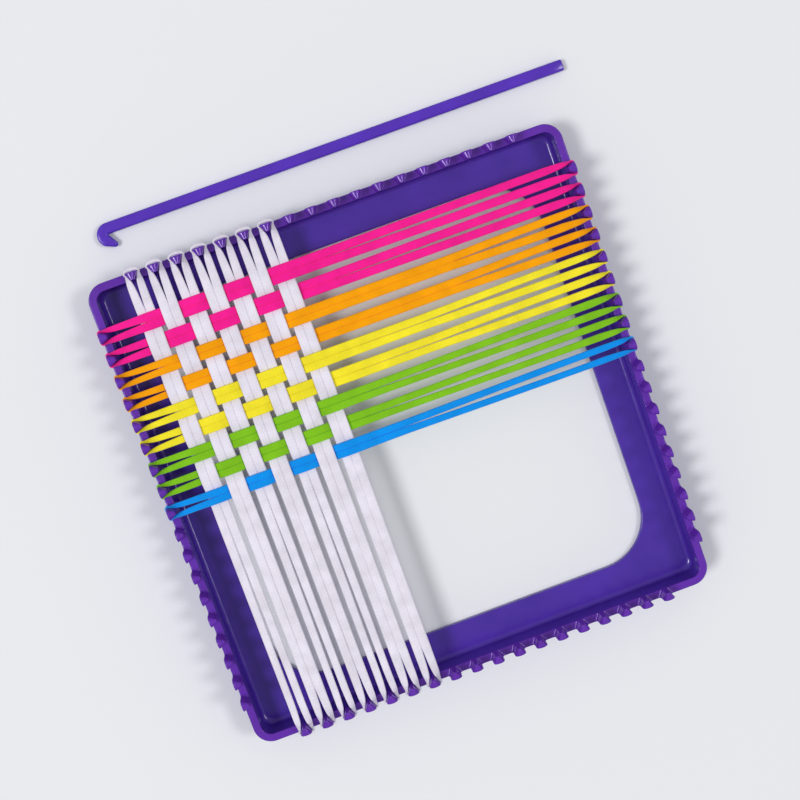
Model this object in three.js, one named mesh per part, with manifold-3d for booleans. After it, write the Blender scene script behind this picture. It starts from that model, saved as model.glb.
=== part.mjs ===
// Square weaving loom, strung with stretched loops and half woven, and the hook that weaves them.
// Millimetres, +Z up. Everything is placed round the middle of the frame, and at the end the whole
// kit is shifted so that the origin is at the middle of its box, on the table.

import * as THREE from 'three';
import { mergeVertices } from 'three/addons/utils/BufferGeometryUtils.js';
import Module from 'manifold-3d';

// Frame: an upright wall round a square, with a flange that runs inwards along its foot.
const frameSide = 184;
const frameHeight = 21;
const wallThickness = 3;
const innerCornerRadius = 4;
const flangeWidth = 15;
const flangeThickness = 2.5;
const windowCornerRadius = 4;
const wallFillet = 2.5;

// Teeth: they stand on the wall along the four sides. They are wedges, widest on the outside.
const teethPerSide = 18;
const cornerToFirstTooth = 18.9;
const toothHeight = 7;
const toothInnerWidth = 1.4;
const toothChamfer = 0.4;
const slotSlack = 1.3;

// Loops: flat knit bands, two strands each, stretched between opposite teeth.
const bandThickness = 1.3;
const pegThickness = 0.9;
const strandGap = 0.2;
const loopGap = 1.8;
const crossingMargin = 0.1;
const petalLength = 11;
const clearance = 0.3;

// Which loops are on the frame: white ones from top to bottom, coloured rows from left to right.
const warpCount = 7;
const warpColour = 0xe9e4f1;
const weftColours = [
  { name: 'pink', colour: 0xfb1c96, count: 2 },
  { name: 'orange', colour: 0xffa500, count: 2 },
  { name: 'yellow', colour: 0xf9e92e, count: 2 },
  { name: 'green', colour: 0x82c51e, count: 2 },
  { name: 'blue', colour: 0x0894f2, count: 1 },
];

// Hook: a flat shank that doubles back into a pointed barb, lying beside the frame's top side.
const hookLength = 185;
const hookWidth = 4.3;
const hookThickness = 3.2;
const hookChamfer = 0.8;
const hookEndChamfer = 0.5;
const notchRadius = 0.3;
const barbTurn = 140;
const barbLength = 4.2;
const barbTipWidth = 1.9;
const barbTipThickness = 2;
const hookOverhang = 11;
const hookToFrame = 10.5;

const frameColour = 0x4a2ba0;
const hookColour = 0x532db4;

// Fineness of the round stretches.
const cornerSteps = 6;
const filletSteps = 3;
const wrapSteps = 3;
const bendSteps = 10;
const petalTwists = [62, 34, 12];
const toothRoot = 1;

// Sizes worked out from those above.
const half = frameSide / 2;
const innerFace = half - wallThickness;
const outerCornerRadius = innerCornerRadius + wallThickness;
const toothPitch = (frameSide - 2 * cornerToFirstTooth) / (teethPerSide - 1);
const wallHeight = frameHeight - toothHeight;
const slotWidth = 2 * (clearance + pegThickness) + slotSlack;
const toothOuterWidth = toothPitch - slotWidth;
const bandWidth = (toothPitch - loopGap - strandGap) / 2;
const strandOffset = (bandWidth + strandGap) / 2;
const loopHalfWidth = strandOffset + bandWidth / 2;
const weaveHeight = wallHeight + clearance + bandWidth / 2;
const crossingRise = (bandThickness + clearance) / 2;
const pegOffset = clearance + pegThickness / 2;
const evenOffset = toothPitch / 4;
const hookBend = notchRadius + hookWidth / 2;

const wasm = await Module();
wasm.setup();

const lerp = THREE.MathUtils.lerp;
const radians = THREE.MathUtils.degToRad;

// Places of the teeth along a side, counted from 1 at the end where the weaving starts.
function toothPlace(number) {
  return cornerToFirstTooth - half + (number - 1) * toothPitch;
}

// Joins equal loops of points into one closed surface that faces outwards. With ring, the last
// loop joins the first one again; without it, the two end loops are filled.
function loft(loops, ring) {
  const sides = loops[0].length;
  const points = loops.flat();
  const triangles = [];
  const spans = ring ? loops.length : loops.length - 1;
  for (let i = 0; i < spans; i += 1) {
    const here = i * sides;
    const next = ((i + 1) % loops.length) * sides;
    for (let j = 0; j < sides; j += 1) {
      const k = (j + 1) % sides;
      triangles.push([here + j, here + k, next + k], [here + j, next + k, next + j]);
    }
  }
  if (!ring) {
    const last = points.length - sides;
    for (let j = 1; j < sides - 1; j += 1) {
      triangles.push([0, j + 1, j], [last, last + j, last + j + 1]);
    }
  }
  let volume = 0;
  for (const [a, b, c] of triangles) {
    volume += points[a].dot(points[b].clone().cross(points[c]));
  }
  const outwards = volume > 0 ? triangles : triangles.map(([a, b, c]) => [a, c, b]);
  const geometry = new THREE.BufferGeometry().setFromPoints(points);
  geometry.setIndex(outwards.flat());
  geometry.computeVertexNormals();
  return geometry;
}

// A closed geometry as a solid that can be joined and cut.
function solidFrom(geometry) {
  const bare = geometry.clone();
  bare.deleteAttribute('normal');
  bare.deleteAttribute('uv');
  const merged = mergeVertices(bare);
  const vertProperties = new Float32Array(merged.attributes.position.array);
  const triVerts = new Uint32Array(merged.index.array);
  return new wasm.Manifold(new wasm.Mesh({ numProp: 3, vertProperties, triVerts }));
}

// A solid back as a geometry.
function geometryFrom(solid) {
  const mesh = solid.getMesh();
  const geometry = new THREE.BufferGeometry();
  geometry.setAttribute('position', new THREE.BufferAttribute(mesh.vertProperties, 3));
  geometry.setIndex(new THREE.BufferAttribute(mesh.triVerts, 1));
  geometry.computeVertexNormals();
  return geometry;
}

function plastic(colour) {
  return new THREE.MeshStandardMaterial({ color: colour, roughness: 0.35, metalness: 0 });
}

function knit(colour) {
  return new THREE.MeshStandardMaterial({ color: colour, roughness: 0.9, metalness: 0 });
}

function named(name, geometry, material) {
  const mesh = new THREE.Mesh(geometry, material);
  mesh.name = name;
  return mesh;
}

// A square with round corners, inset from the frame's outer face, at one height.
function roundedSquare(inset, radius, height) {
  const points = [];
  const middle = half - inset - radius;
  for (let corner = 0; corner < 4; corner += 1) {
    const turn = (corner * Math.PI) / 2;
    const centre = new THREE.Vector2(middle, middle).rotateAround(new THREE.Vector2(), turn);
    for (let step = 0; step <= cornerSteps; step += 1) {
      const angle = turn + (step / cornerSteps) * (Math.PI / 2);
      const x = centre.x + radius * Math.cos(angle);
      const y = centre.y + radius * Math.sin(angle);
      points.push(new THREE.Vector3(x, y, height));
    }
  }
  return points;
}

// The frame without its teeth: its profile, from the foot of the wall's outer face up, over the
// rim, down to the flange and back along the underside, drawn as a loop round the square.
function frameBlank() {
  const loops = [
    roundedSquare(0, outerCornerRadius, 0),
    roundedSquare(0, outerCornerRadius, wallHeight),
    roundedSquare(wallThickness, innerCornerRadius, wallHeight),
  ];
  for (let step = 0; step <= filletSteps; step += 1) {
    const angle = (step / filletSteps) * (Math.PI / 2);
    const inset = wallThickness + wallFillet * (1 - Math.cos(angle));
    const height = flangeThickness + wallFillet * (1 - Math.sin(angle));
    loops.push(roundedSquare(inset, innerCornerRadius, height));
  }
  loops.push(roundedSquare(flangeWidth, windowCornerRadius, flangeThickness));
  loops.push(roundedSquare(flangeWidth, windowCornerRadius, 0));
  return solidFrom(loft(loops, true));
}

// A tooth's outline at one height, inset from its faces, on the side that faces +X.
function toothOutline(place, inset, height) {
  const outer = toothOuterWidth / 2 - inset;
  const inner = toothInnerWidth / 2 - inset;
  return [
    new THREE.Vector3(innerFace + inset, place - inner, height),
    new THREE.Vector3(half - inset, place - outer, height),
    new THREE.Vector3(half - inset, place + outer, height),
    new THREE.Vector3(innerFace + inset, place + inner, height),
  ];
}

// One tooth, rooted in the wall and chamfered round its top.
function tooth(place, side) {
  const cut = Math.min(toothChamfer, toothInnerWidth / 3);
  const loops = [
    toothOutline(place, 0, wallHeight - toothRoot),
    toothOutline(place, 0, frameHeight - cut),
    toothOutline(place, cut, frameHeight),
  ];
  const geometry = loft(loops, false);
  geometry.rotateZ((side * Math.PI) / 2);
  return solidFrom(geometry);
}

function loomFrame() {
  const solids = [frameBlank()];
  for (let side = 0; side < 4; side += 1) {
    for (let number = 1; number <= teethPerSide; number += 1) {
      solids.push(tooth(toothPlace(number), side));
    }
  }
  const solid = wasm.Manifold.union(solids);
  return named('loom_frame', geometryFrom(solid), plastic(frameColour));
}

// The band's four corners at one place on its way round. It faces along the flat outward
// direction, and twist turns it from lying flat to standing on edge.
function bandSection({ middle, outward, twist, thickness }) {
  const up = new THREE.Vector3(0, 0, 1);
  const angle = radians(twist);
  const across = outward.clone().multiplyScalar(Math.cos(angle)).addScaledVector(up, Math.sin(angle));
  const through = outward.clone().multiplyScalar(-Math.sin(angle)).addScaledVector(up, Math.cos(angle));
  const corners = [[1, 1], [-1, 1], [-1, -1], [1, -1]];
  return corners.map(([a, t]) => middle.clone()
    .addScaledVector(across, (a * bandWidth) / 2)
    .addScaledVector(through, (t * thickness) / 2));
}

// Where a strand leaves its tooth: on edge, beside the tooth's outer corner.
function cornerStation(end, side) {
  const outward = new THREE.Vector3(0, side, 0);
  const middle = new THREE.Vector3(end * half, side * (toothOuterWidth / 2 + pegOffset), weaveHeight);
  return { middle, outward, twist: 90, thickness: pegThickness };
}

// Round the outside of a tooth, on edge. end is -1 for the tooth near the weaving's start, 1 for
// the one opposite, and the band goes round it anticlockwise.
function wrapStations(end) {
  const stations = [];
  for (const side of [-end, end]) {
    const corner = new THREE.Vector3(end * half, (side * toothOuterWidth) / 2, weaveHeight);
    for (let step = 1; step <= wrapSteps; step += 1) {
      const share = side === end ? wrapSteps + 1 - step : step;
      const angle = (share / wrapSteps) * (Math.PI / 2);
      const outward = new THREE.Vector3(end * Math.sin(angle), side * Math.cos(angle), 0);
      const middle = corner.clone().addScaledVector(outward, pegOffset);
      stations.push({ middle, outward, twist: 90, thickness: pegThickness });
    }
  }
  return stations;
}

// The petal-shaped stretch beside a tooth, in which a strand swings in from the tooth's corner and
// turns from on edge to flat.
function petalStations(corner, flat) {
  return petalTwists.map((twist, step) => {
    const share = (step + 1) / (petalTwists.length + 1);
    const middle = corner.middle.clone().lerp(flat.middle, share);
    middle.y = lerp(flat.middle.y, corner.middle.y, (1 - share) ** 2);
    const thickness = lerp(corner.thickness, flat.thickness, share);
    return { middle, outward: flat.outward, twist, thickness };
  });
}

// One strand from the near tooth to the far one. rises gives, for each loop that it crosses,
// whether it passes over it (1) or under it (-1).
function strandStations(side, rises) {
  const outward = new THREE.Vector3(0, side, 0);
  const flat = (middle) => ({ middle, outward, twist: 0, thickness: bandThickness });
  const reach = loopHalfWidth + crossingMargin;
  const woven = rises.flatMap((rise, crossing) => {
    const place = toothPlace(crossing + 1);
    const height = weaveHeight + rise * crossingRise;
    return [place - reach, place + reach]
      .map((along) => flat(new THREE.Vector3(along, side * strandOffset, height)));
  });
  const near = cornerStation(-1, side);
  const far = cornerStation(1, side);
  const opened = flat(new THREE.Vector3(half - petalLength, side * evenOffset, weaveHeight));
  const farPetal = petalStations(far, opened).reverse();
  return [near, ...petalStations(near, woven[0]), ...woven, opened, ...farPetal, far];
}

// A whole loop along X, through its two strands and round both of its teeth.
function loopGeometry(rises) {
  const stations = [
    ...strandStations(-1, rises),
    ...wrapStations(1),
    ...strandStations(1, rises).reverse(),
    ...wrapStations(-1),
  ];
  return loft(stations.map(bandSection), true);
}

// Plain weave: a row passes over a white loop where their numbers add up to an even number.
function rowRise(row, column) {
  return (row + column) % 2 === 0 ? 1 : -1;
}

function weftLoops() {
  const loops = [];
  for (const { name, colour, count } of weftColours) {
    for (let copy = 1; copy <= count; copy += 1) {
      const row = loops.length + 1;
      const rises = Array.from({ length: warpCount }, (_, k) => rowRise(row, k + 1));
      const mesh = named(`${name}_loop_${copy}`, loopGeometry(rises), knit(colour));
      mesh.position.y = -toothPlace(row);
      loops.push(mesh);
    }
  }
  return loops;
}

function warpLoops(rowCount) {
  const loops = [];
  for (let column = 1; column <= warpCount; column += 1) {
    const rises = Array.from({ length: rowCount }, (_, k) => -rowRise(k + 1, column));
    const mesh = named(`white_loop_${column}`, loopGeometry(rises), knit(warpColour));
    mesh.rotation.z = -Math.PI / 2;
    mesh.position.x = toothPlace(column);
    loops.push(mesh);
  }
  return loops;
}

// The hook's section: a flat rectangle with chamfered edges, square to its heading.
function hookSection(middle, heading, width, thickness) {
  const across = new THREE.Vector3(-Math.sin(heading), Math.cos(heading), 0);
  const up = new THREE.Vector3(0, 0, 1);
  const cutAcross = Math.min(hookChamfer, width / 3);
  const cutUp = Math.min(hookChamfer, thickness / 3);
  const a = width / 2;
  const t = thickness / 2;
  const corners = [
    [a, t - cutUp], [a - cutAcross, t], [cutAcross - a, t], [-a, t - cutUp],
    [-a, cutUp - t], [cutAcross - a, -t], [a - cutAcross, -t], [a, cutUp - t],
  ];
  return corners.map(([x, z]) => middle.clone().addScaledVector(across, x).addScaledVector(up, z));
}

// The hook, from the square end of its shank to the tip of its barb. The barb's place below the
// shank says how far the shank lies from the frame.
function weavingHook() {
  const turn = radians(barbTurn);
  const heading = Math.PI + turn;
  const bendReach = hookBend * (1 - Math.cos(turn));
  const barbReach = bendReach - barbLength * Math.sin(heading) + barbTipWidth / 2;
  const shankY = half + hookToFrame + barbReach;
  const endX = half + hookOverhang;
  const bendX = endX - hookLength + hookBend + hookWidth / 2;
  const place = (x, y) => new THREE.Vector3(x, y, hookThickness / 2);
  const endWidth = hookWidth - 2 * hookEndChamfer;
  const endThickness = hookThickness - 2 * hookEndChamfer;
  const loops = [
    hookSection(place(endX, shankY), Math.PI, endWidth, endThickness),
    hookSection(place(endX - hookEndChamfer, shankY), Math.PI, hookWidth, hookThickness),
  ];
  for (let step = 0; step <= bendSteps; step += 1) {
    const angle = (step / bendSteps) * turn;
    const x = bendX - hookBend * Math.sin(angle);
    const y = shankY - hookBend * (1 - Math.cos(angle));
    loops.push(hookSection(place(x, y), Math.PI + angle, hookWidth, hookThickness));
  }
  const tipX = bendX - hookBend * Math.sin(turn) + barbLength * Math.cos(heading);
  const tipY = shankY - bendReach + barbLength * Math.sin(heading);
  loops.push(hookSection(place(tipX, tipY), heading, barbTipWidth, barbTipThickness));
  return named('weaving_hook', loft(loops, false), plastic(hookColour));
}

const wefts = weftLoops();
const kit = new THREE.Group();
kit.add(loomFrame(), weavingHook(), ...warpLoops(wefts.length), ...wefts);

const box = new THREE.Box3().setFromObject(kit, true);
const middle = box.getCenter(new THREE.Vector3());
kit.position.set(-middle.x, -middle.y, -box.min.z);

export default kit;
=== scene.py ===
# A square weaving loom with stretched knit loops, half woven, and the hook that weaves them.
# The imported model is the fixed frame. Each piece made here stands for one of its nodes.
# Shapes are written in millimetres round the middle of the loom, and placed in metres.
import math
import random
from collections import namedtuple

import bpy
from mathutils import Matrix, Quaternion, Vector


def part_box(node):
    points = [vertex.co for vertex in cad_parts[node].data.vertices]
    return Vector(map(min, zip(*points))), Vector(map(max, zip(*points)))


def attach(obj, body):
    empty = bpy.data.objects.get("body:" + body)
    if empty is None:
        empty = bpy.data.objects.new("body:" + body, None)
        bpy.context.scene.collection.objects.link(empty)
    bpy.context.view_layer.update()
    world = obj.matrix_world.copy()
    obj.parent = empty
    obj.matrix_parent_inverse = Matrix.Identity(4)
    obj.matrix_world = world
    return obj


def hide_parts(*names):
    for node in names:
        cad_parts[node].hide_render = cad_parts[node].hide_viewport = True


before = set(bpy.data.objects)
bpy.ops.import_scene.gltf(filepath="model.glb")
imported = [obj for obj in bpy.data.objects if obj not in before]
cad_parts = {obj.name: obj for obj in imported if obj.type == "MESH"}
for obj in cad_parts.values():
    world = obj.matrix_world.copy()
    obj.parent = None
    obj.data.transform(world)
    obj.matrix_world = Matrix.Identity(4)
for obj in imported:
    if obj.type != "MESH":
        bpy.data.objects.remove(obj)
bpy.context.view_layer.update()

MM = 0.001

# Loom frame: an upright wall round a square, with a flange along its foot.
frame_low, frame_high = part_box("loom_frame")
FRAME_MIDDLE = (frame_low + frame_high) / 2
HALF = (frame_high.x - frame_low.x) / 2 / MM
TOOTH_TOP = (frame_high.z - frame_low.z) / MM
WALL = 3.0
OUTER_CORNER = 7.0
INNER_CORNER = 4.0
FLANGE_WIDTH = 15.0
FLANGE_THICKNESS = 2.5
WINDOW_CORNER = 20.0
WALL_FILLET = 1.8
RIM_ROUND = 0.5
RIM_INNER_ROUND = 0.15
FOOT_ROUND = 0.4
STRAIGHT = HALF - OUTER_CORNER

# Teeth: wedges that stand on the wall, widest on the outside.
TEETH = 18
FIRST_TOOTH = 18.9
PITCH = (2 * HALF - 2 * FIRST_TOOTH) / (TEETH - 1)
TOOTH_OUTER = 4.9
TOOTH_INNER = 1.4
TOOTH_HEIGHT = 7.0
TOOTH_DRAFT = 0.08
TOOTH_ROUND_OUTER = 2.2
TOOTH_ROUND_INNER = 0.65
TOOTH_ROOT = 0.7
WALL_TOP = TOOTH_TOP - TOOTH_HEIGHT

# Level lines round the wall, a little below its top. They keep the teeth out of the shading below them.
LEVEL_LINES = (WALL_TOP - 1.8, WALL_TOP - 1.2)

# A row across the wall's upper edge: its place along the side and its height, at the outer and the inner
# face, and the way that the edge faces there, along the side and up.
Row = namedtuple("Row", "outer inner outer_height inner_height along up")

# Steps of the frame's arcs: its small edges, its larger roundings and its corners.
EDGE_STEPS = 3
ROUND_STEPS = 5
CORNER_STEPS = 12

# How far large faces lead the frame's shading. 50 is neutral.
LARGE_FACE_WEIGHT = 80

# Loops: flat knit bands, bunched and on edge round the teeth, flat between them.
BAND_HALF_THICKNESS = 0.58
PEG_GAP = 0.05
CORNER_TUCK = 0.20
STRAND_GAP = -0.06
WEAVE_HEIGHT = 15.95
CRIMP = 0.8
CRIMP_FLATNESS = 1.6
NEAR_CRIMP_REACH = 7.5
FAR_CRIMP_REACH = 16.0
WARP_PETAL = 16.0
WEFT_PETAL = 19.0
OPEN_PETAL = 11.0
PETAL_HUG = 0.65
PETAL_HUG_LENGTH = 2.0
TWIST_LENGTH = 4.0
TWIST_POWER = 1.6
ON_EDGE = math.radians(-90)
WARP_COUNT = 7
OPEN_WARPS = (1, 3, 5)
WEFT_COLOURS = ("pink", "pink", "orange", "orange", "yellow", "yellow", "green", "green", "blue")

# Strands: half width in the weave, half width at the end of the free run, how much narrower the free
# run is in its middle, how far along it the two strands part, and how far each then ends from the loop's
# middle line.
Strand = namedtuple("Strand", "woven free waist parting offset")
WEFT_STRANDS = {
    "pink": Strand(1.66, 1.54, 0.0, 0.10, PITCH / 4),
    "orange": Strand(1.42, 1.54, 0.0, 0.55, PITCH / 4),
    "yellow": Strand(1.55, 1.45, 0.05, 0.40, PITCH / 4),
    "green": Strand(1.48, 1.44, 0.16, 0.15, PITCH / 4),
    "blue": Strand(1.42, 1.30, 0.05, 0.20, PITCH / 4),
}
CLOSED_WARP = Strand(1.76, 1.78, 0.0, 0.0, 1.70)
OPEN_WARP = Strand(1.76, 1.40, 0.0, 0.0, 1.95)

# The free run starts this far past the last crossing. Each strand of it differs a little from the others:
# how far it bows and lifts, how far it leans, in degrees, and its share of the plain width.
FREE_START = 3.0
BOW = 0.08
LIFT = 0.12
LEAN = 5
FREE_WIDTH_SHARES = (0.94, 1.04)
WEFT_SEED = 100
WARP_SEED = 200

# How close together the places along a strand are, and where the weave and the far petal end and start.
PETAL_STEP = 0.8
WEAVE_STEP = 0.9
FREE_STEP = 3.0
PAST_WEAVE = 6.0
FAR_PETAL_PLACES = 16.0

# How a band sits on a tooth: its half width, its half thickness at the tooth's corners and in the middle
# of the tooth's outer face, how far it leans outwards there, in degrees, and the power by which it widens
# from the tooth along its petal.
OnTooth = namedtuple("OnTooth", "width corner middle lean swell")
WARP_ON_TOOTH = OnTooth(1.15, 0.40, 0.54, 26, 0.75)
WEFT_ON_TOOTH = OnTooth(0.85, 0.30, 0.32, 5, 0.85)
WRAP_STEPS = 6
WRAP_FACE_PLACES = (-0.5, 0.0, 0.5)
WRAP_EASE = 0.4

# Section of a band across its width: three raised wales on each face, six in all, with grooves between.
WALES = 6
WALE_GROOVE_AT = 0.33
WALE_GROOVE_WIDTH = 0.09
WALE_GROOVE_DEPTH = 0.18
SECTION_ACROSS = (1.0, 0.95, 0.80, 0.60, 0.43, 0.33, 0.23, 0.0)
SECTION_SQUARENESS = 5
SECTION_FULLNESS = 2.2

# Hook: a flat shank that doubles back into a barb. The tip's angles stop short of a point.
hook_low, hook_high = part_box("weaving_hook")
HOOK_WIDTH = 4.3
HOOK_THICKNESS = (hook_high.z - hook_low.z) / MM
HOOK_EDGE = 0.9
HOOK_EDGE_SHARE = 0.6
HOOK_END_ROUND = 0.5
HOOK_BEND = 2.45
HOOK_TURN = math.radians(140)
HOOK_END_X = (hook_high.x - FRAME_MIDDLE.x) / MM
HOOK_BEND_X = (hook_low.x - FRAME_MIDDLE.x) / MM + HOOK_BEND + HOOK_WIDTH / 2
SHANK_Y = (hook_high.y - FRAME_MIDDLE.y) / MM - HOOK_WIDTH / 2
BARB_LENGTH = 4.2
BARB_TIP_WIDTH = 2.4
BARB_TIP_THICKNESS = 2.2
BARB_TIP_ANGLES = [math.radians(degrees) for degrees in (25, 50, 70, 84)]
HOOK_EDGE_STEPS = 4
SHANK_STEPS = 40
BEND_STEPS = 28
BARB_STEPS = 8

# Colours, linear.
FRAME_COLOUR = (0.068, 0.024, 0.352)
# The rim's colour is painted light: lighter and redder than the frame's, for light that shines through the
# thin rim and teeth and catches their tops.
RIM_PAINTED_LIGHT_COLOUR = (0.115, 0.021, 0.386)
HOOK_COLOUR = (0.087, 0.026, 0.456)
KNIT_COLOURS = {
    # The white's lilac tint is painted light: it stands in for the bluish light that falls on the white
    # loops.
    "white": (0.815, 0.776, 0.880),
    "pink": (0.965, 0.012, 0.305),
    "orange": (1.000, 0.376, 0.000),
    "yellow": (0.947, 0.815, 0.027),
    "green": (0.223, 0.558, 0.013),
    "blue": (0.002, 0.296, 0.888),
}
FLOOR_COLOUR = (0.80, 0.81, 0.84)

# Plastic. A noise's scale is in cells a metre, and most of a noise lies in its middle range.
NOISE_RANGE = (0.3, 0.7)
CLOUD_SCALE = 70
CLOUD_SHADES = (0.9, 1.1)
# The rim's painted light fades in over this many millimetres below the wall's top.
RIM_PAINTED_LIGHT_FADE = 2.0
GLOSS_SCALE = 260
PLASTIC_ROUGHNESS = (0.15, 0.24)
PLASTIC_IOR = 1.49
PLASTIC_SPECULAR = 0.42
MOULD_SCALE = 1500
MOULD_BUMP = 0.08
MOULD_DEPTH = 0.05

# Knit. A stitch's length is in millimetres, and its slant is in stitches for a wale's width.
STITCH_LENGTH = 1.3
STITCH_SLANT = 1.4
STITCH_TONE = 0.06
STITCH_RELIEF = 0.5
BLOTCH_SCALE = 160
FIBRE_SCALE = 2600
FIBRE_TONE = 0.25
KNIT_TONE_RANGE = (0.35, 0.85)
KNIT_SHADES = (0.84, 1.04)
KNIT_ROUGHNESS = 0.85
KNIT_SPECULAR = 0.12
KNIT_SHEEN = 0.12
KNIT_SHEEN_ROUGHNESS = 0.5
KNIT_BUMP = 0.35
KNIT_DEPTH = 0.12

# Stage, in metres. The floor lies a hair below the loom's foot.
FLOOR_REACH = 20.0
FLOOR_LEVEL = -0.0001
FLOOR_ROUGHNESS = 0.8
WORLD_STRENGTH = 0.45
Lamp = namedtuple("Lamp", "name place size watts")
KEY = Lamp("key", (-2.31, 0.12, 3.56), 1.20, 79.0)
FILL = Lamp("fill", (2.48, -0.35, 3.85), 1.20, 48.5)
CAMERA_AZIMUTH = math.radians(193)
CAMERA_ELEVATION = math.radians(83)
CAMERA_ROLL = math.radians(147)
CAMERA_DISTANCE = 0.50
CAMERA_TARGET = Vector((-0.002, 0.004, 0.010))
CAMERA_LENS = 60.0


def place(x, y, z):
    """A point given in millimetres round the middle of the loom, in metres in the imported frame."""
    return (x * MM + FRAME_MIDDLE.x, y * MM + FRAME_MIDDLE.y, z * MM)


def lerp(a, b, share):
    return a + (b - a) * share


def arc(start, end, steps):
    """Evenly spaced angles in radians, from start to end in degrees, with both ends."""
    return [math.radians(start + (end - start) * step / steps) for step in range(steps + 1)]


def tooth_place(number):
    """Place of a tooth along its side, counted from 1 at the end where the weaving starts."""
    return FIRST_TOOTH - HALF + (number - 1) * PITCH


def ring_faces(rings, sides, closed):
    """Quads between neighbouring rings of points, all numbered ring by ring."""
    faces = []
    spans = rings if closed else rings - 1
    for i in range(spans):
        here = i * sides
        after = ((i + 1) % rings) * sides
        for j in range(sides):
            k = (j + 1) % sides
            faces.append((here + j, here + k, after + k, after + j))
    return faces


def mesh_piece(name, points, faces, material):
    """A smooth-shaded object made of points and faces."""
    mesh = bpy.data.meshes.new(name)
    mesh.from_pydata(points, [], faces)
    mesh.validate()
    mesh.shade_smooth()
    mesh.materials.append(material)
    piece = bpy.data.objects.new(name, mesh)
    bpy.context.scene.collection.objects.link(piece)
    return piece


def dress(piece, node, body):
    """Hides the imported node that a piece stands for, and moves the piece with that node's body."""
    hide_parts(node)
    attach(piece, body)


# Loom frame.

def corner_radius(inset):
    """Radius of the frame's corners, at a distance in from the outer face."""
    if inset > FLANGE_WIDTH / 2:
        return WINDOW_CORNER + FLANGE_WIDTH - inset
    return max(OUTER_CORNER - inset, INNER_CORNER)


def straight_half(inset):
    """Half the straight stretch of a rounded square that lies inset from the outer face."""
    return HALF - inset - corner_radius(inset)


def turned(x, y, quarter_turns):
    for _ in range(quarter_turns):
        x, y = -y, x
    return x, y


def tooth_profile(centre):
    """The rim's line over one tooth. Its top is half round, on the outside more than on the inside."""
    left = []
    for angle in arc(90, 0, EDGE_STEPS):
        spread = TOOTH_DRAFT + TOOTH_ROOT * (1 - math.cos(angle))
        height = WALL_TOP + TOOTH_ROOT * (1 - math.sin(angle))
        left.append(Row(-TOOTH_OUTER / 2 - spread, -TOOTH_INNER / 2 - spread, height, height,
                        -math.cos(angle), math.sin(angle)))
    for angle in arc(0, 90, ROUND_STEPS):
        side = 1 - math.cos(angle)
        drop = 1 - math.sin(angle)
        left.append(Row(-TOOTH_OUTER / 2 + TOOTH_ROUND_OUTER * side,
                        -TOOTH_INNER / 2 + TOOTH_ROUND_INNER * side,
                        TOOTH_TOP - TOOTH_ROUND_OUTER * drop,
                        TOOTH_TOP - TOOTH_ROUND_INNER * drop,
                        -math.cos(angle), math.sin(angle)))
    right = [row._replace(outer=-row.outer, inner=-row.inner, along=-row.along) for row in reversed(left)]
    return [row._replace(outer=centre + row.outer, inner=centre + row.inner) for row in left + right]


def level_row(t):
    """A row between teeth, where the wall's top is level."""
    return Row(t, t, WALL_TOP, WALL_TOP, 0.0, 1.0)


def side_profile():
    """The rim's line along one whole side, from one rounded corner to the next."""
    rows = [level_row(-STRAIGHT), level_row(tooth_place(1) - PITCH / 2)]
    for number in range(1, TEETH + 1):
        rows.extend(tooth_profile(tooth_place(number)))
        rows.append(level_row(tooth_place(number) + PITCH / 2))
    rows.append(level_row(STRAIGHT))
    return rows


def wall_section(rim_point, flat_point):
    """One ring of the frame's section. rim_point(inset, drop) gives a point of the wall's upper edge,
    flat_point(inset, height) one of the wall below it, the flange or the underside."""
    quarter = arc(0, 90, EDGE_STEPS)
    ring = []
    for angle in quarter:
        inset = FOOT_ROUND * (1 - math.sin(angle))
        ring.append(flat_point(inset, FOOT_ROUND * (1 - math.cos(angle))))
    ring.extend(flat_point(0.0, height) for height in LEVEL_LINES)
    for angle in quarter:
        ring.append(rim_point(RIM_ROUND * (1 - math.cos(angle)), RIM_ROUND * (1 - math.sin(angle))))
    for angle in reversed(quarter):
        inset = WALL - RIM_INNER_ROUND * (1 - math.cos(angle))
        ring.append(rim_point(inset, RIM_INNER_ROUND * (1 - math.sin(angle))))
    ring.extend(flat_point(WALL, height) for height in reversed(LEVEL_LINES))
    for angle in arc(0, 90, ROUND_STEPS):
        inset = WALL + WALL_FILLET * (1 - math.cos(angle))
        ring.append(flat_point(inset, FLANGE_THICKNESS + WALL_FILLET * (1 - math.sin(angle))))
    for angle in quarter:
        inset = FLANGE_WIDTH - FOOT_ROUND * (1 - math.sin(angle))
        ring.append(flat_point(inset, FLANGE_THICKNESS - FOOT_ROUND * (1 - math.cos(angle))))
    for angle in reversed(quarter):
        inset = FLANGE_WIDTH - FOOT_ROUND * (1 - math.sin(angle))
        ring.append(flat_point(inset, FOOT_ROUND * (1 - math.cos(angle))))
    return ring


def side_ring(side, row):
    """The section at one place along a side. A tooth's sides slant, because the teeth are wedges."""

    def rim_point(inset, drop):
        t = lerp(row.outer, row.inner, inset / WALL) - drop * row.along
        height = lerp(row.outer_height, row.inner_height, inset / WALL)
        x, y = turned(HALF - inset, t, side)
        return place(x, y, height - drop * row.up)

    def flat_point(inset, z):
        outside = inset < WALL / 2
        t = row.outer - RIM_ROUND * row.along if outside else row.inner - RIM_INNER_ROUND * row.along
        t *= straight_half(inset) / STRAIGHT
        x, y = turned(HALF - inset, t, side)
        return place(x, y, z)

    return wall_section(rim_point, flat_point)


def corner_ring(side, angle):
    """The section at one angle round the corner that follows a side."""

    def flat_point(inset, z):
        radius = corner_radius(inset)
        middle = straight_half(inset)
        x, y = turned(middle + radius * math.cos(angle), middle + radius * math.sin(angle), side)
        return place(x, y, z)

    def rim_point(inset, drop):
        return flat_point(inset, WALL_TOP - drop)

    return wall_section(rim_point, flat_point)


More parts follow.
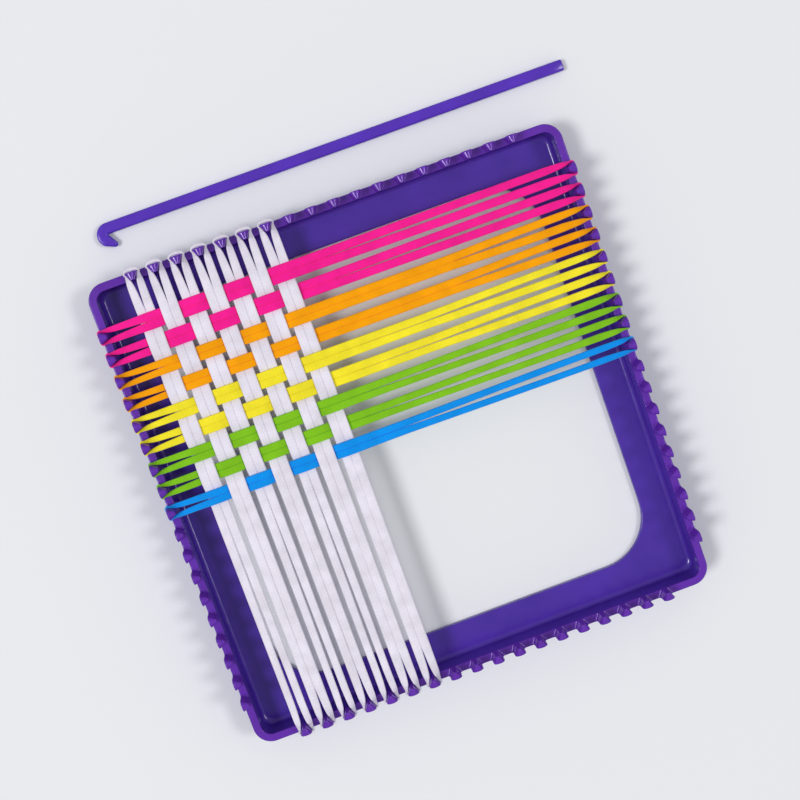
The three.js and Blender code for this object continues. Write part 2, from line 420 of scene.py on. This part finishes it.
def loom_frame(material):
    """The whole moulding. Its rings wind the other way from a loop's, so its faces are turned over."""
    rings = []
    for side in range(4):
        rings.extend(side_ring(side, row) for row in side_profile())
        rings.extend(corner_ring(side, angle) for angle in arc(0, 90, CORNER_STEPS)[1:-1])
    points = [point for ring in rings for point in ring]
    faces = [tuple(reversed(face)) for face in ring_faces(len(rings), len(rings[0]), closed=True)]
    piece = mesh_piece("frame_moulding", points, faces, material)
    shading = piece.modifiers.new("even_shading", "WEIGHTED_NORMAL")
    shading.weight = LARGE_FACE_WEIGHT
    dress(piece, "loom_frame", "loom")


# Loops.

def band_section():
    """Outline of a band's section, in shares of its half width and half thickness."""
    lower = []
    for across in SECTION_ACROSS + tuple(-a for a in reversed(SECTION_ACROSS[:-1])):
        crown = (1 - abs(across) ** SECTION_SQUARENESS) ** (1 / SECTION_FULLNESS)
        groove = math.exp(-((abs(across) - WALE_GROOVE_AT) / WALE_GROOVE_WIDTH) ** 2)
        lower.append((across, -crown * (1 - WALE_GROOVE_DEPTH * groove)))
    upper = [(across, -through) for across, through in reversed(lower[1:-1])]
    return lower + upper


def crimp(along, crossings, first_rise):
    """How far a strand rises at one place, as a share: over and under each loop that it crosses."""
    first = crossings[0]
    last = crossings[-1]
    if along < first:
        return first_rise * (1 + math.cos(math.pi * min((first - along) / NEAR_CRIMP_REACH, 1))) / 2
    last_rise = first_rise * (-1) ** (len(crossings) - 1)
    if along > last:
        return last_rise * (1 + math.cos(math.pi * min((along - last) / FAR_CRIMP_REACH, 1))) / 2
    wave = math.tanh(CRIMP_FLATNESS * math.cos(math.pi * (along - first) / PITCH))
    return first_rise * wave / math.tanh(CRIMP_FLATNESS)


def strand_places(crossings):
    """Places along a strand, close together in the petals and the weave. Its two ends are left out: they
    belong to the wraps round the teeth."""
    weave_end = crossings[-1] + PAST_WEAVE
    far_petal = HALF - FAR_PETAL_PLACES
    stretches = (
        (-HALF, crossings[0], PETAL_STEP),
        (crossings[0], weave_end, WEAVE_STEP),
        (weave_end, far_petal, FREE_STEP),
        (far_petal, HALF, PETAL_STEP),
    )
    places = []
    for start, end, step in stretches:
        count = math.ceil((end - start) / step)
        places.extend(lerp(start, end, k / count) for k in range(count))
    return places[1:]


def petal(distance, length):
    """How far a strand is drawn aside near a tooth, from 1 at the tooth's corner to 0 at the petal's end.
    It hugs the tooth's slanting side first, then closes slowly."""
    hugging = math.exp(-distance / PETAL_HUG_LENGTH)
    closing = max(1 - distance / length, 0.0)
    return PETAL_HUG * hugging + (1 - PETAL_HUG) * closing


def on_edge(distance):
    """How far a strand is turned on edge, from 1 at the tooth's corner to 0 where it lies flat."""
    return math.exp(-((distance / TWIST_LENGTH) ** TWIST_POWER))


def strand_stations(side, crossings, first_rise, chance, strand, petals, on_tooth):
    """One strand from the near tooth to the far one, as rows of x, y, z, twist, half width and half
    thickness. The twist is 0 where the band lies flat. At a tooth the band stands on edge."""
    near_length, far_length = petals
    corner = TOOTH_OUTER / 2 - CORNER_TUCK + PEG_GAP + on_tooth.corner
    bow = chance.uniform(-BOW, BOW)
    lift = chance.uniform(-LIFT, LIFT)
    lean = math.radians(chance.uniform(-LEAN, LEAN))
    free = strand.free * chance.uniform(*FREE_WIDTH_SHARES)
    free_start = crossings[-1] + FREE_START
    free_end = HALF - far_length
    stations = []
    for along in strand_places(crossings):
        to_near = along + HALF
        to_far = HALF - along
        distance, length = (to_near, near_length) if to_near < to_far else (to_far, far_length)
        turn = on_edge(distance)
        run = min(max((along - free_start) / (free_end - free_start), 0.0), 1.0)
        loose = math.sin(math.pi * run)
        parted = math.sin(math.pi / 2 * max(run - strand.parting, 0.0) / (1 - strand.parting))
        offset = lerp(strand.woven + STRAND_GAP, strand.offset, parted) + bow * loose
        offset = lerp(offset, corner, petal(distance, length))
        height = WEAVE_HEIGHT + CRIMP * crimp(along, crossings, first_rise) + lift * loose
        twist = ON_EDGE * turn + lean * loose
        half_width = lerp(strand.woven, free, run) * (1 - strand.waist * loose)
        half_width = lerp(on_tooth.width, half_width, min(distance / length, 1.0) ** on_tooth.swell)
        half_thickness = lerp(BAND_HALF_THICKNESS, on_tooth.corner, turn)
        stations.append((along, side * offset, height, twist, half_width, half_thickness))
    return stations


def wrap_stations(end, on_tooth):
    """Round the outside of a tooth, anticlockwise. end is -1 at the near tooth, 1 at the far one. The
    band is fullest, and leans most, in the middle of the tooth."""
    corner_x = HALF - RIM_ROUND
    corner_y = TOOTH_OUTER / 2 - CORNER_TUCK - RIM_ROUND
    turns = [step / WRAP_STEPS for step in range(WRAP_STEPS + 1)]
    first_corner = [(-1.0, turn) for turn in turns]
    outer_face = [(side, 1.0) for side in WRAP_FACE_PLACES]
    last_corner = [(1.0, turn) for turn in reversed(turns)]
    stations = []
    for side, turn in first_corner + outer_face + last_corner:
        share = turn * (1 - WRAP_EASE * side ** 2)
        half_thickness = lerp(on_tooth.corner, on_tooth.middle, share)
        lean = math.radians(on_tooth.lean) * share
        reach = RIM_ROUND + PEG_GAP + half_thickness + on_tooth.width * math.sin(lean)
        angle = turn * math.pi / 2
        x = corner_x + reach * math.sin(angle)
        y = side * (corner_y + reach * math.cos(angle))
        stations.append((end * x, end * y, WEAVE_HEIGHT, ON_EDGE + lean, on_tooth.width, half_thickness))
    return stations


def loop_rings(stations, section, to_loom):
    """Rings of points and the length run, for a band that goes round through its stations."""
    count = len(stations)
    centres = [Vector(station[:3]) for station in stations]
    rings = []
    lengths = [0.0]
    for i, (_, _, _, twist, half_width, half_thickness) in enumerate(stations):
        heading = (centres[(i + 1) % count] - centres[i - 1]).normalized()
        outward = Vector((heading.y, -heading.x, 0)).normalized()
        upward = outward.cross(heading)
        across = outward * math.cos(twist) + upward * math.sin(twist)
        through = upward * math.cos(twist) - outward * math.sin(twist)
        ring = []
        for a, t in section:
            point = centres[i] + across * (a * half_width) + through * (t * half_thickness)
            ring.append(to_loom(point))
        rings.append(ring)
        lengths.append(lengths[-1] + (centres[(i + 1) % count] - centres[i]).length)
    return rings, lengths


def map_knit(piece, lengths, sides):
    """Coordinates for the stitches: the length run along the band in millimetres, and the share of the way
    round its section. The corners come in the order in which ring_faces makes them."""
    layer = piece.data.uv_layers.new(name="knit")
    corner = 0
    for here, after in zip(lengths, lengths[1:]):
        for j in range(sides):
            for along, step in ((here, 0), (here, 1), (after, 1), (after, 0)):
                layer.data[corner].uv = (along, (j + step) / sides)
                corner += 1


def knit_loop(colour, number, crossings, first_rise, to_loom, seed, strand, petals, on_tooth, material):
    """A whole loop: one strand out, round the far tooth, the other strand back, round the near one.
    to_loom(point) takes a point from the loop's own place to its place on the loom."""
    chance = random.Random(seed)
    out = strand_stations(-1, crossings, first_rise, chance, strand, petals, on_tooth)
    back = strand_stations(1, crossings, first_rise, chance, strand, petals, on_tooth)
    stations = out + wrap_stations(1, on_tooth) + back[::-1] + wrap_stations(-1, on_tooth)
    section = band_section()
    rings, lengths = loop_rings(stations, section, to_loom)
    points = [point for ring in rings for point in ring]
    faces = ring_faces(len(rings), len(section), closed=True)
    piece = mesh_piece(f"{colour}_knit_{number}", points, faces, material)
    map_knit(piece, lengths, len(section))
    dress(piece, f"{colour}_loop_{number}", "loom")


def row_rise(row, column):
    """1 where a coloured row passes over a white loop, -1 where it passes under."""
    return 1 if (row + column) % 2 == 0 else -1


def weft_loops(materials):
    """The coloured rows, from the first side to the side across from it."""
    crossings = [tooth_place(column) for column in range(1, WARP_COUNT + 1)]
    copies = {}
    for row, colour in enumerate(WEFT_COLOURS, start=1):
        copies[colour] = copies.get(colour, 0) + 1
        middle = -tooth_place(row)
        knit_loop(colour, copies[colour], crossings, row_rise(row, 1),
                  lambda p, y=middle: place(p.x, p.y + y, p.z),
                  seed=WEFT_SEED + row, strand=WEFT_STRANDS[colour], petals=(WEFT_PETAL, OPEN_PETAL),
                  on_tooth=WEFT_ON_TOOTH, material=materials[colour])


def warp_loops(materials):
    """The white loops, square to the coloured rows. The strands of some stay apart at their far end."""
    crossings = [tooth_place(row) for row in range(1, len(WEFT_COLOURS) + 1)]
    for column in range(1, WARP_COUNT + 1):
        middle = tooth_place(column)
        opened = column in OPEN_WARPS
        knit_loop("white", column, crossings, -row_rise(1, column),
                  lambda p, x=middle: place(p.y + x, -p.x, p.z),
                  seed=WARP_SEED + column, strand=OPEN_WARP if opened else CLOSED_WARP,
                  petals=(WARP_PETAL, OPEN_PETAL if opened else WARP_PETAL),
                  on_tooth=WARP_ON_TOOTH, material=materials["white"])


# Hook.

def hook_ring(x, y, heading, width=HOOK_WIDTH, thickness=HOOK_THICKNESS):
    """The hook's rounded-off rectangular section, square to its heading."""
    edge = min(HOOK_EDGE, width / 2 * HOOK_EDGE_SHARE, thickness / 2 * HOOK_EDGE_SHARE)
    ring = []
    for corner, (a, t) in enumerate(((1, 1), (-1, 1), (-1, -1), (1, -1))):
        for angle in arc(corner * 90, corner * 90 + 90, HOOK_EDGE_STEPS):
            across = a * (width / 2 - edge) + edge * math.cos(angle)
            up = t * (thickness / 2 - edge) + edge * math.sin(angle)
            ring.append(place(x - math.sin(heading) * across, y + math.cos(heading) * across,
                              HOOK_THICKNESS / 2 + up))
    return ring


def shank_rings():
    """From the plain end, with its rounded edge, to the bend."""
    rings = []
    for angle in arc(0, 90, EDGE_STEPS):
        inset = HOOK_END_ROUND * (1 - math.sin(angle))
        x = HOOK_END_X - HOOK_END_ROUND * (1 - math.cos(angle))
        rings.append(hook_ring(x, SHANK_Y, math.pi, HOOK_WIDTH - 2 * inset, HOOK_THICKNESS - 2 * inset))
    first_x = HOOK_END_X - HOOK_END_ROUND
    for step in range(1, SHANK_STEPS):
        rings.append(hook_ring(lerp(first_x, HOOK_BEND_X, step / SHANK_STEPS), SHANK_Y, math.pi))
    return rings


def bend_point(angle):
    """The middle of the hook at one angle round its bend."""
    return HOOK_BEND_X - HOOK_BEND * math.sin(angle), SHANK_Y - HOOK_BEND * (1 - math.cos(angle))


def bend_rings():
    rings = []
    for step in range(BEND_STEPS + 1):
        angle = step / BEND_STEPS * HOOK_TURN
        x, y = bend_point(angle)
        rings.append(hook_ring(x, y, math.pi + angle))
    return rings


def barb_rings():
    """From the bend's end, getting narrower, to the rounded tip."""
    heading = math.pi + HOOK_TURN
    start_x, start_y = bend_point(HOOK_TURN)
    tip_round = BARB_TIP_WIDTH / 2

    def barb_ring(run, width, thickness):
        x = start_x + run * math.cos(heading)
        y = start_y + run * math.sin(heading)
        return hook_ring(x, y, heading, width, thickness)

    rings = []
    for step in range(1, BARB_STEPS + 1):
        share = step / BARB_STEPS
        rings.append(barb_ring(share * (BARB_LENGTH - tip_round),
                               lerp(HOOK_WIDTH, BARB_TIP_WIDTH, share),
                               lerp(HOOK_THICKNESS, BARB_TIP_THICKNESS, share)))
    for angle in BARB_TIP_ANGLES:
        rings.append(barb_ring(BARB_LENGTH - tip_round + tip_round * math.sin(angle),
                               BARB_TIP_WIDTH * math.cos(angle),
                               BARB_TIP_THICKNESS * math.cos(angle)))
    return rings


def weaving_hook(material):
    rings = shank_rings() + bend_rings() + barb_rings()
    sides = len(rings[0])
    points = [point for ring in rings for point in ring]
    faces = ring_faces(len(rings), sides, closed=False)
    faces.append(tuple(reversed(range(sides))))
    faces.append(tuple(range(len(points) - sides, len(points))))
    piece = mesh_piece("hook_moulding", points, faces, material)
    dress(piece, "weaving_hook", "hook")


# Materials.

def new_material(name):
    """A new material, its node tree and its shader."""
    material = bpy.data.materials.new(name)
    material.use_nodes = True
    tree = material.node_tree
    shader = tree.nodes["Principled BSDF"]
    return material, tree, shader


def math_node(tree, operation, first, second=0.0):
    """A Math node on two sockets or numbers. Returns its output."""
    node = tree.nodes.new("ShaderNodeMath")
    node.operation = operation
    for socket, value in zip(node.inputs, (first, second)):
        if isinstance(value, (int, float)):
            socket.default_value = value
        else:
            tree.links.new(value, socket)
    return node.outputs[0]


def noise(tree, coordinates, scale, detail=2.0):
    node = tree.nodes.new("ShaderNodeTexNoise")
    node.inputs["Scale"].default_value = scale
    node.inputs["Detail"].default_value = detail
    tree.links.new(coordinates, node.inputs["Vector"])
    return node.outputs["Fac"]


def spread_range(tree, value, from_range, to_range):
    """A value moved from one range, given as its low and high end, to another."""
    node = tree.nodes.new("ShaderNodeMapRange")
    for name, number in zip(("From Min", "From Max", "To Min", "To Max"), from_range + to_range):
        node.inputs[name].default_value = number
    tree.links.new(value, node.inputs["Value"])
    return node.outputs["Result"]


def shaded(colour, factor):
    """A colour made darker or lighter, with full alpha."""
    return tuple(min(c * factor, 1.0) for c in colour) + (1.0,)


def shade_ramp(tree, value, value_range, colour, shades):
    """A colour between its dark and its light shade, as a value goes through its range."""
    ramp = tree.nodes.new("ShaderNodeValToRGB")
    for stop, position, shade in zip(ramp.color_ramp.elements, value_range, shades):
        stop.position = position
        stop.color = shaded(colour, shade)
    tree.links.new(value, ramp.inputs["Fac"])
    return ramp.outputs["Color"]


def bump(tree, shader, height, strength, depth):
    """Fine relief on a shader, from a height and its depth in millimetres."""
    node = tree.nodes.new("ShaderNodeBump")
    node.inputs["Strength"].default_value = strength
    node.inputs["Distance"].default_value = depth * MM
    tree.links.new(height, node.inputs["Height"])
    tree.links.new(node.outputs["Normal"], shader.inputs["Normal"])


def clouded(tree, where, colour):
    """A colour that is slightly uneven over the surface."""
    cloud = noise(tree, where, CLOUD_SCALE, detail=3)
    return shade_ramp(tree, cloud, NOISE_RANGE, colour, CLOUD_SHADES)


def hook_tint(tree, where):
    return clouded(tree, where, HOOK_COLOUR)


def rim_painted_light_tint(tree, where):
    """The frame's colour, with painted light: the rim and the teeth are painted redder and lighter, for
    light that shines through their thin plastic and catches their tops.
    """
    split = tree.nodes.new("ShaderNodeSeparateXYZ")
    tree.links.new(where, split.inputs["Vector"])
    # Painted light: 0 low on the wall, 1 on its top and on the teeth.
    rim = spread_range(tree, split.outputs["Z"], ((WALL_TOP - RIM_PAINTED_LIGHT_FADE) * MM, WALL_TOP * MM), (0.0, 1.0))
    mix = tree.nodes.new("ShaderNodeMixRGB")
    tree.links.new(rim, mix.inputs["Fac"])
    tree.links.new(clouded(tree, where, FRAME_COLOUR), mix.inputs["Color1"])
    tree.links.new(clouded(tree, where, RIM_PAINTED_LIGHT_COLOUR), mix.inputs["Color2"])
    return mix.outputs["Color"]


def moulded_plastic(name, tint):
    """Glossy moulded plastic: uneven gloss and a fine mould texture. tint(tree, where) gives its colour."""
    material, tree, shader = new_material(name)
    where = tree.nodes.new("ShaderNodeTexCoord").outputs["Object"]
    tree.links.new(tint(tree, where), shader.inputs["Base Color"])
    gloss = noise(tree, where, GLOSS_SCALE, detail=3)
    tree.links.new(spread_range(tree, gloss, NOISE_RANGE, PLASTIC_ROUGHNESS), shader.inputs["Roughness"])
    shader.inputs["IOR"].default_value = PLASTIC_IOR
    shader.inputs["Specular IOR Level"].default_value = PLASTIC_SPECULAR
    bump(tree, shader, noise(tree, where, MOULD_SCALE), MOULD_BUMP, MOULD_DEPTH)
    return material


def knit_stitches(tree, coordinates):
    """A wave that makes rows of V stitches along each wale, from the coordinates that map_knit sets."""
    split = tree.nodes.new("ShaderNodeSeparateXYZ")
    tree.links.new(coordinates, split.inputs["Vector"])
    across = math_node(tree, "PINGPONG", math_node(tree, "MULTIPLY", split.outputs["Y"], WALES), 0.5)
    slant = math_node(tree, "MULTIPLY", across, STITCH_SLANT)
    phase = math_node(tree, "ADD", math_node(tree, "DIVIDE", split.outputs["X"], STITCH_LENGTH), slant)
    return math_node(tree, "SINE", math_node(tree, "MULTIPLY", phase, 2 * math.pi))


def knit_fabric(name, colour):
    """Stretched knit: stitches and fibres as tone and relief, a slightly blotchy dye and a soft sheen."""
    material, tree, shader = new_material(name)
    coordinates = tree.nodes.new("ShaderNodeTexCoord")
    where = coordinates.outputs["Object"]
    stitch = knit_stitches(tree, coordinates.outputs["UV"])
    blotch = noise(tree, where, BLOTCH_SCALE, detail=3)
    fibre = noise(tree, where, FIBRE_SCALE)
    tone = math_node(tree, "ADD", math_node(tree, "MULTIPLY", stitch, STITCH_TONE), blotch)
    tone = math_node(tree, "ADD", tone, math_node(tree, "MULTIPLY", fibre, FIBRE_TONE))
    tint = shade_ramp(tree, tone, KNIT_TONE_RANGE, colour, KNIT_SHADES)
    tree.links.new(tint, shader.inputs["Base Color"])
    shader.inputs["Roughness"].default_value = KNIT_ROUGHNESS
    shader.inputs["Specular IOR Level"].default_value = KNIT_SPECULAR
    shader.inputs["Sheen Weight"].default_value = KNIT_SHEEN
    shader.inputs["Sheen Roughness"].default_value = KNIT_SHEEN_ROUGHNESS
    relief = math_node(tree, "ADD", math_node(tree, "MULTIPLY", stitch, STITCH_RELIEF), fibre)
    bump(tree, shader, relief, KNIT_BUMP, KNIT_DEPTH)
    return material


def pale_floor():
    material, _, shader = new_material("pale_floor")
    shader.inputs["Base Color"].default_value = FLOOR_COLOUR + (1.0,)
    shader.inputs["Roughness"].default_value = FLOOR_ROUGHNESS
    return material


# Stage.

def aim(thing, target, roll=0.0):
    """Turns a lamp or the camera towards a point, and rolls it about the line to that point."""
    heading = (target - thing.location).to_track_quat("-Z", "Y")
    thing.rotation_mode = "QUATERNION"
    thing.rotation_quaternion = heading @ Quaternion((0, 0, 1), roll)


def floor():
    signs = ((-1, -1), (1, -1), (1, 1), (-1, 1))
    corners = [(x * FLOOR_REACH, y * FLOOR_REACH, FLOOR_LEVEL) for x, y in signs]
    piece = mesh_piece("floor", corners, [(0, 1, 2, 3)], pale_floor())


def soft_light(lamp):
    """A round lamp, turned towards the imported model's origin."""
    data = bpy.data.lights.new(lamp.name, "AREA")
    data.shape = "DISK"
    data.size = lamp.size
    data.energy = lamp.watts
    thing = bpy.data.objects.new(lamp.name, data)
    thing.location = lamp.place
    bpy.context.scene.collection.objects.link(thing)
    aim(thing, Vector((0, 0, 0)))


def studio():
    world = bpy.data.worlds.new("studio")
    world.use_nodes = True
    background = world.node_tree.nodes["Background"]
    background.inputs["Color"].default_value = (1.0, 1.0, 1.0, 1.0)
    background.inputs["Strength"].default_value = WORLD_STRENGTH
    bpy.context.scene.world = world
    soft_light(KEY)
    soft_light(FILL)
    floor()


def camera():
    back = Vector((math.sin(CAMERA_AZIMUTH) * math.cos(CAMERA_ELEVATION),
                   -math.cos(CAMERA_AZIMUTH) * math.cos(CAMERA_ELEVATION),
                   math.sin(CAMERA_ELEVATION)))
    data = bpy.data.cameras.new("view")
    data.lens = CAMERA_LENS
    thing = bpy.data.objects.new("view", data)
    thing.location = CAMERA_TARGET + back * CAMERA_DISTANCE
    bpy.context.scene.collection.objects.link(thing)
    aim(thing, CAMERA_TARGET, CAMERA_ROLL)
    bpy.context.scene.camera = thing
    bpy.context.scene.view_settings.view_transform = "Standard"


knits = {colour: knit_fabric(f"{colour}_knit", value) for colour, value in KNIT_COLOURS.items()}
loom_frame(moulded_plastic("frame_plastic", rim_painted_light_tint))
weaving_hook(moulded_plastic("hook_plastic", hook_tint))
warp_loops(knits)
weft_loops(knits)
studio()
camera()
